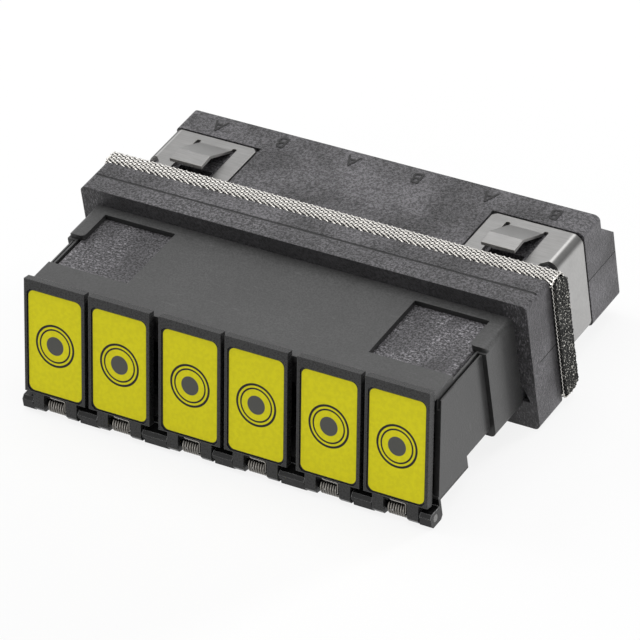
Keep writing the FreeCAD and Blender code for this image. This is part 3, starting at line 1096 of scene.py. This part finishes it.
@dataclass
class ShutterRow:
    """The bezel, its hinge pin and the six sprung doors."""

    wire: float = 0.17
    turns: int = 8
    steps: int = 18
    fineness: int = 2
    coil_diameter: float = 1.34
    coil_half: float = 0.86
    pin: tuple[float, float] = (-17.0799, -5.5434)
    chin_bottom: float = -4.46
    reach: float = 1.9
    leg_start: float = -1.0
    leg_end: float = -0.6
    leg_drop: float = 0.09
    leg_bend: float = 0.12
    bend_share: float = 0.3
    pin_setback: float = 0.81
    film: LabelFilm = field(default_factory=LabelFilm)

    def build(self) -> None:
        """Dress the bezel and doors and wind a spring for each door."""
        dress("shutter_bezel", SATIN.material())
        dress("hinge_pin", PIN_STEEL.material())
        plastic = DOOR_PLASTIC.material()
        steel = SPRING_STEEL.material()
        coil = draw_wire("spring_coil", self.coil_points(), self.wire / 2 * MM, self.fineness)
        leg = draw_wire("spring_leg", self.leg_points(), self.wire / 2 * MM, self.fineness)
        for number, x in enumerate(PORT_X, start=1):
            door = Body.DOOR.value.format(number)
            dress(f"door_{number}", plastic)
            dress(f"label_{number}", self.film.material(number))
            shift = Vector((x, 0.0, 0.0)) * MM
            wound = present(twin(coil, f"spring_coil_{number}", shift), steel)
            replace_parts(wound, f"door_spring_{number}")
            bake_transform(wound)
            bent = present(twin(leg, f"spring_leg_{number}", shift), steel)
            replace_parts(bent, f"door_spring_{number}")
            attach(bent, door)
        bpy.data.objects.remove(coil)
        bpy.data.objects.remove(leg)

    def slanted(self, x: float, depth: float, rise: float) -> Vector:
        """Point in the doors' slanted plane, in metres.

        Args:
            x: place along the row in millimetres.
            depth: distance behind the doors' face.
            rise: distance up the door from its foot.

        Returns:
            The point in the row frame.
        """
        y = DOOR_FOOT[0] + rise * math.sin(DOOR_SLANT) + depth * math.cos(DOOR_SLANT)
        z = DOOR_FOOT[1] + rise * math.cos(DOOR_SLANT) - depth * math.sin(DOOR_SLANT)
        return Vector((x, y, z)) * MM

    def coil_points(self) -> list[Vector]:
        """Centre line of the fixed leg and the coil at X = 0.

        Returns:
            Its points in metres.
        """
        ring = (self.coil_diameter - self.wire) / 2
        contact = (self.pin[0] + self.reach, self.chin_bottom - self.wire / 2)
        away = (contact[0] - self.pin[0], contact[1] - self.pin[1])
        leave = math.atan2(away[1], away[0]) - math.acos(ring / math.hypot(*away))
        points = [Vector((-self.coil_half, *contact)) * MM]
        count = self.turns * self.steps
        last = math.pi - DOOR_SLANT - leave
        sweep = 2 * math.pi * self.turns + last % (2 * math.pi) - 2 * math.pi
        for step in range(count + 1):
            share = step / count
            angle = leave + sweep * share
            x = self.coil_half * (2 * share - 1)
            y = self.pin[0] + ring * math.cos(angle)
            z = self.pin[1] + ring * math.sin(angle)
            points.append(Vector((x, y, z)) * MM)
        return points

    def leg_points(self) -> list[Vector]:
        """Centre line of the door leg at X = 0.

        Returns:
            Its points in metres.
        """
        ring = (self.coil_diameter - self.wire) / 2
        setback = self.pin_setback - ring
        touch = -self.wire / 2
        run = touch - self.leg_drop
        bend = self.leg_bend
        turn = bend * self.bend_share
        places = (
            (self.coil_half, self.leg_start),
            (self.coil_half, run - bend),
            (self.coil_half - turn, run - turn),
            (self.coil_half - bend, run),
            (self.leg_end + bend, run),
            (self.leg_end, touch),
        )
        return [self.slanted(x, setback, rise) for x, rise in places]


@dataclass
class SnapClips:
    """The two stainless clips on the rear half's ends."""

    def build(self) -> None:
        """Dress both clips."""
        steel = CLIP_STEEL.material()
        dress("left_clip", steel)
        dress("right_clip", steel)


@dataclass
class SleeveRow:
    """The split sleeves that line up the ferrules."""

    def build(self) -> None:
        """Dress every sleeve."""
        ceramic = Ceramic().material()
        for number in range(1, len(PORT_X) + 1):
            dress(f"sleeve_{number}", ceramic)


@dataclass
class ShieldGasket:
    """Foam pad in a woven metal sleeve, pierced for the rear half."""

    hole_x: float = 19.7
    hole_z: float = 4.88
    corner: float = 0.5
    skin: float = 0.06
    pitch: float = 0.28
    warp: float = 0.076
    weft: float = 0.05
    wave: float = 0.05
    selvedge: float = 0.045
    stitch: float = 0.2
    sway: float = 0.045
    bias: float = math.radians(-26.0)
    voxel: float = 0.09
    pore: float = 0.2
    pore_depth: float = 0.2
    bulge: float = 0.3
    flare: float = 1.45
    lean: float = 0.25
    tuck: float = 0.98
    rounding: int = 24
    press: float = 0.45
    foam_corner: float = 0.66
    corner_steps: int = 6
    strand_fineness: int = 0
    selvedge_fineness: int = 1

    SEGMENTS = 5
    SMOOTHING = 0.5
    CUT_SIDES = 12
    STRAND_ANGLE = math.radians(80)

    def build(self) -> None:
        """Make the foam and the sleeve, in place of the plain solids."""
        foam = present(self.foam(), OpenFoam().material())
        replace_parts(foam, "gasket_foam")
        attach(foam, Body.HOUSING.value)
        lining = present(self.lining(), LINING.material())
        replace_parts(lining, "gasket_mesh")
        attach(lining, Body.HOUSING.value)
        steel = KNIT_STEEL.material()
        for cloth in self.cloths():
            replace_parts(present(cloth, steel), "gasket_mesh")
            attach(cloth, Body.HOUSING.value)

    def box(self, node: str) -> tuple[Vector, Vector]:
        """Corners of a soft solid, its bottom pressed up a little."""
        low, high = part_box(node)
        return low + Vector((0.0, 0.0, self.press * MM)), high

    def hole(self, low: Vector, high: Vector) -> Object:
        """Cutter for the opening that the rear half passes through.

        Args:
            low: lowest corner of the soft solid.
            high: highest corner of the soft solid.

        Returns:
            The cutter, longer than the solid is deep.
        """
        near = Vector((-self.hole_x * MM, low.y - MM, -self.hole_z * MM))
        far = Vector((self.hole_x * MM, high.y + MM, self.hole_z * MM))
        return cuboid("hole", near, far)

    def foam(self) -> Object:
        """Foam pad with torn, open cells, swelling where it leaves the sleeve.

        Returns:
            The foam's mesh.
        """
        low, high = self.box("gasket_foam")
        out = Vector((self.bulge * MM, 0.0, 0.0))
        obj = cuboid("gasket_foam_pad", low - out, high + out)
        long_edges(obj)
        bpy.ops.mesh.bevel(offset=self.foam_corner * MM, segments=self.SEGMENTS)
        for plane in (low.x, high.x):
            bpy.ops.mesh.select_all(action="SELECT")
            bpy.ops.mesh.bisect(plane_co=(plane, 0.0, 0.0), plane_no=(1.0, 0.0, 0.0))
        end_faces(obj)
        middle = (low + high) / 2 - Vector((0.0, self.lean * MM, 0.0))
        bpy.ops.transform.resize(value=(1.0, self.flare, self.tuck), center_override=middle)
        set_mode("OBJECT")
        cut(obj, self.hole(low, high))
        modify(obj, "REMESH", mode="VOXEL", voxel_size=self.voxel * MM)
        modify(obj, "SMOOTH", factor=self.SMOOTHING, iterations=self.rounding)
        pores = bpy.data.textures.new("pores", "CLOUDS")
        pores.noise_scale = self.pore * MM
        depth = self.pore_depth * MM
        modify(obj, "DISPLACE", texture=pores, strength=depth, texture_coords="LOCAL")
        bpy.data.textures.remove(pores)
        return obj

    def lining(self) -> Object:
        """Thin dark lining under the woven strands.

        Returns:
            The lining's mesh.
        """
        low, high = self.box("gasket_mesh")
        obj = cuboid("gasket_lining", low, high)
        end_faces(obj)
        bpy.ops.mesh.delete(type="FACE")
        long_edges(obj)
        bpy.ops.mesh.bevel(offset=self.corner * MM, segments=self.SEGMENTS)
        set_mode("OBJECT")
        modify(obj, "SOLIDIFY", thickness=self.skin * MM, offset=-1.0)
        cut(obj, self.hole(low, high))
        return obj

    def cloths(self) -> list[Object]:
        """Woven strips over the top, the bottom and the two ends of the rear face.

        Returns:
            The strips.
        """
        low, high = self.box("gasket_mesh")
        edge = self.hole_x * MM
        level = self.hole_z * MM
        strips = []
        for name, side in (("top", 1.0), ("bottom", -1.0)):
            strip = self.weave(f"gasket_weave_{name}", low.x, high.x, self.profile_length(side))
            self.wrap(strip, side)
            strips.append(strip)
        for name, start, end in (("left", low.x, -edge), ("right", edge, high.x)):
            strip = self.weave(f"gasket_weave_{name}", start, end, 2 * level)
            strip.rotation_euler = (math.pi / 2, 0.0, 0.0)
            strip.location = (0.0, high.y, -level)
            settle(strip)
            strips.append(strip)
            outer = start if name == "left" else end
            run = self.stitched(self.section(outer))
            seam = f"gasket_selvedge_{name}"
            strips.append(draw_wire(seam, run, self.selvedge * MM, self.selvedge_fineness))
        for strip in strips:
            turn_outward(strip)
            bpy.ops.object.shade_smooth_by_angle(angle=self.STRAND_ANGLE)
        return strips

    def section(self, x: float) -> list[Vector]:
        """Closed run of points round the sleeve's section.

        Args:
            x: place along the sleeve in metres.

        Returns:
            The points, the first one again at the end.
        """
        low, high = self.box("gasket_mesh")
        radius = self.corner * MM
        corners = ((high.y, high.z), (low.y, high.z), (low.y, low.z), (high.y, low.z))
        points = []
        for quarter, (y, z) in enumerate(corners):
            side_y = 1 if y == high.y else -1
            side_z = 1 if z == high.z else -1
            for step in range(self.corner_steps + 1):
                angle = math.pi / 2 * (quarter + step / self.corner_steps)
                place_y = y - side_y * radius + radius * math.cos(angle)
                place_z = z - side_z * radius + radius * math.sin(angle)
                points.append(Vector((x, place_y, place_z)))
        return [*points, points[0]]

    def stitched(self, run: list[Vector]) -> list[Vector]:
        """Points at even stitches along a closed run, in turn to its left and its right.

        Args:
            run: the run's corners, the first one again at the end.

        Returns:
            The points, the first one again at the end.
        """
        points = []
        sway = Vector((self.sway * MM, 0.0, 0.0))
        for before, after in zip(run, run[1:]):
            count = max(1, round((after - before).length / (self.stitch * MM)))
            for step in range(count):
                points.append(before.lerp(after, step / count) + sway)
                sway = -sway
        return [*points, points[0]]

    def weave(self, name: str, start: float, end: float, span: float) -> Object:
        """Flat plain weave, laid on the bias and trimmed to a rectangle.

        Args:
            name: the object's name.
            start: X of the rectangle's left edge in metres.
            end: X of its right edge.
            span: its width along Y, from 0.

        Returns:
            The cloth in the XY plane.
        """
        half = Vector(((end - start) / 2, span / 2, 0.0))
        tilt = abs(self.bias)
        long = half.x * math.cos(tilt) + half.y * math.sin(tilt)
        wide = half.x * math.sin(tilt) + half.y * math.cos(tilt)
        warp = self.strands("warp", long, wide, self.warp)
        weft = self.strands("weft", wide, long, self.weft)
        weft.rotation_euler.z = math.pi / 2
        weft.location = (self.pitch * MM, 0.0, (self.weft - self.warp) * MM)
        settle(weft)
        obj = merge(name, [warp, weft])
        obj.rotation_euler.z = self.bias
        obj.location = (start + half.x, half.y, 0.0)
        settle(obj)
        set_mode("EDIT")
        edges = (
            ((start, 0.0, 0.0), (-1.0, 0.0, 0.0)),
            ((end, 0.0, 0.0), (1.0, 0.0, 0.0)),
            ((0.0, 0.0, 0.0), (0.0, -1.0, 0.0)),
            ((0.0, span, 0.0), (0.0, 1.0, 0.0)),
        )
        for place, outward in edges:
            bpy.ops.mesh.select_all(action="SELECT")
            bpy.ops.mesh.bisect(plane_co=place, plane_no=outward, clear_outer=True)
        bpy.ops.mesh.select_all(action="SELECT")
        bpy.ops.mesh.fill_holes(sides=self.CUT_SIDES)
        set_mode("OBJECT")
        return obj

    def strands(self, name: str, long: float, wide: float, radius: float) -> Object:
        """Parallel strands along X that rise and dip in turn.

        Args:
            name: the object's name.
            long: half of their length in metres.
            wide: half of the width that they fill.
            radius: radius of a strand in millimetres.

        Returns:
            The strands, centred on the origin.
        """
        pitch = self.pitch * MM
        count = math.ceil(long / pitch)
        pairs = math.ceil(wide / pitch)
        points = []
        for step in range(-count, count + 1):
            height = self.wave * MM * (1 - 2 * (step % 2))
            points.append(Vector((step * pitch, -pairs * pitch, height)))
        first = draw_wire(name, points, radius * MM, self.strand_fineness)
        second = twin(first, name, Vector((pitch, pitch, 0.0)))
        obj = merge(name, [first, second])
        modify(
            obj,
            "ARRAY",
            count=pairs,
            use_relative_offset=False,
            use_constant_offset=True,
            constant_offset_displace=(0.0, 2 * pitch, 0.0),
        )
        return obj

    def profile_length(self, side: float) -> float:
        """Length of the sleeve's section from the front corner to the hole's edge.

        Args:
            side: 1 for the top, -1 for the bottom.

        Returns:
            The length in metres.
        """
        low, high = self.box("gasket_mesh")
        reach = high.z if side > 0 else -low.z
        radius = self.corner * MM
        return radius * math.pi + (high.y - low.y - 2 * radius) + reach - radius - self.hole_z * MM

    def wrap(self, cloth: Object, side: float) -> None:
        """Lay a flat cloth round the sleeve's section.

        Args:
            cloth: the cloth; its Y runs along the section and its Z stands off it.
            side: 1 for the top, -1 for the bottom.
        """
        low, high = self.box("gasket_mesh")
        radius = self.corner * MM
        arc = radius * math.pi / 2
        flat = high.y - low.y - 2 * radius
        level = (high.z if side > 0 else -low.z) - radius
        for vertex in cloth.data.vertices:
            along, off = vertex.co.y, vertex.co.z
            if along < arc:
                angle = math.pi / 2 - along / radius
                y, z = low.y + radius, level
            elif along < arc + flat:
                angle = 0.0
                y, z = low.y + radius + along - arc, level
            else:
                angle = -min((along - arc - flat) / radius, math.pi / 2)
                y, z = high.y - radius, level - max(0.0, along - 2 * arc - flat)
            vertex.co.y = y - (radius + off) * math.sin(angle)
            vertex.co.z = side * (z + (radius + off) * math.cos(angle))


@dataclass(frozen=True)
class Lamp:
    """A soft square lamp that points at the object; place and size are in metres, power in watts."""

    name: str
    place: Triple
    size: float
    power: float
    gloss: bool

    def hang(self) -> None:
        """Add the lamp to the scene; gloss says whether glossy surfaces show it."""
        deselect()
        bpy.ops.object.light_add(type="AREA", location=self.place)
        obj = bpy.context.object
        obj.name = self.name
        obj.data.size = self.size
        obj.data.energy = self.power
        obj.visible_glossy = self.gloss
        obj.rotation_euler = (-Vector(self.place)).to_track_quat("-Z", "Y").to_euler()


LAMPS = (
    Lamp("overhead", (0.0, 0.1, 0.42), size=0.4, power=1.4, gloss=True),
    Lamp("right", (0.3, 0.5, 0.07), size=0.16, power=5.2, gloss=False),
    Lamp("front", (-0.14, -0.55, 0.12), size=0.3, power=0.7, gloss=True),
    Lamp("left", (-0.45, 0.05, 0.36), size=0.3, power=1.3, gloss=False),
)


@dataclass
class Studio:
    """Pale floor, soft lamps, white surroundings and the camera."""

    eye: Triple = (204.52, -279.97, 257.18)
    azimuth: float = math.radians(36.36)
    elevation: float = math.radians(36.97)
    roll: float = math.radians(-8.17)
    lens: float = 299.08
    sensor: float = 36.0
    clip_start: float = 0.01
    floor_size: float = 4.0
    floor_gap: float = 2e-5
    floor_tone: float = 0.8
    floor_roughness: float = 0.9
    floor_gloss: float = 0.1
    floor_glow: float = 0.86
    ambient: float = 0.22

    def build(self) -> None:
        """Set the floor, the lamps, the surroundings and the camera."""
        self.floor()
        for lamp in LAMPS:
            lamp.hang()
        self.surroundings()
        self.camera()
        bpy.context.scene.view_settings.view_transform = "Standard"

    def floor(self) -> None:
        """Lay a pale floor under the object; it keeps a soft shadow."""
        deselect()
        low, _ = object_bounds()
        place = (0.0, 0.0, low.z - self.floor_gap)
        bpy.ops.mesh.primitive_plane_add(size=self.floor_size, location=place)
        obj = name_new("floor")
        graph = Graph.material("pale_floor")
        rays = self.seen(graph)
        graph.surface(
            Base_Color=(self.floor_tone, self.floor_tone, self.floor_tone, 1.0),
            Roughness=self.floor_roughness,
            Specular_IOR_Level=self.floor_gloss,
        )
        glow = graph.node("ShaderNodeEmission", {}, {"Strength": 1.0})
        lit = Shade(graph, graph.tree.nodes["Principled BSDF"].outputs[0])
        mixed = graph.node("ShaderNodeMixShader", {}, {0: rays * self.floor_glow, 1: lit, 2: glow})
        graph.feed(graph.tree.nodes["Material Output"].inputs["Surface"], mixed)
        obj.data.materials.append(graph.owner)
        obj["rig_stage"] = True

    @staticmethod
    def seen(graph: Graph) -> Shade:
        """Tell rays that look directly or by way of a gloss from those that carry light.

        Args:
            graph: the nodes to add to.

        Returns:
            1 for rays that look, 0 for the others.
        """
        camera = graph.node("ShaderNodeLightPath", {}, {})
        outputs = camera.socket.node.outputs
        gloss = Shade(graph, outputs["Is Glossy Ray"])
        clear = Shade(graph, outputs["Is Transmission Ray"])
        return camera.most(gloss).most(clear)

    def surroundings(self) -> None:
        """White surroundings for the eye and gloss, with a plain level of soft light."""
        world = bpy.data.worlds.new("surroundings")
        bpy.context.scene.world = world
        graph = Graph(world)
        sky = graph.tree.nodes["Background"]
        graph.feed(sky.inputs["Color"], (*WHITE, 1.0))
        graph.feed(sky.inputs["Strength"], self.seen(graph) * (1.0 - self.ambient) + self.ambient)

    def camera(self) -> None:
        """Place the camera at the photograph's viewing angle."""
        deselect()
        bpy.ops.object.camera_add()
        obj = bpy.context.object
        obj.name = "camera"
        flat = math.cos(self.elevation)
        across, ahead = math.sin(self.azimuth) * flat, math.cos(self.azimuth) * flat
        back = Vector((across, -ahead, math.sin(self.elevation)))
        right = Vector((0.0, 0.0, 1.0)).cross(back).normalized()
        up = back.cross(right)
        level = math.cos(self.roll) * right + math.sin(self.roll) * up
        tall = -math.sin(self.roll) * right + math.cos(self.roll) * up
        turn = Matrix((level, tall, back)).transposed().to_4x4()
        obj.matrix_world = Matrix.Translation(Vector(self.eye) * MM) @ turn
        obj.data.sensor_width = self.sensor
        obj.data.lens = self.lens
        obj.data.clip_start = self.clip_start
        bpy.context.scene.camera = obj


def main() -> None:
    """Build every sub-assembly and the studio."""
    logging.basicConfig(level=logging.INFO, format="%(name)s %(message)s")
    for assembly in (Housing(), ShutterRow(), SnapClips(), SleeveRow(), ShieldGasket(), Studio()):
        LOG.info("building %s", type(assembly).__name__)
        assembly.build()


if __name__ == "__main__":
    main()
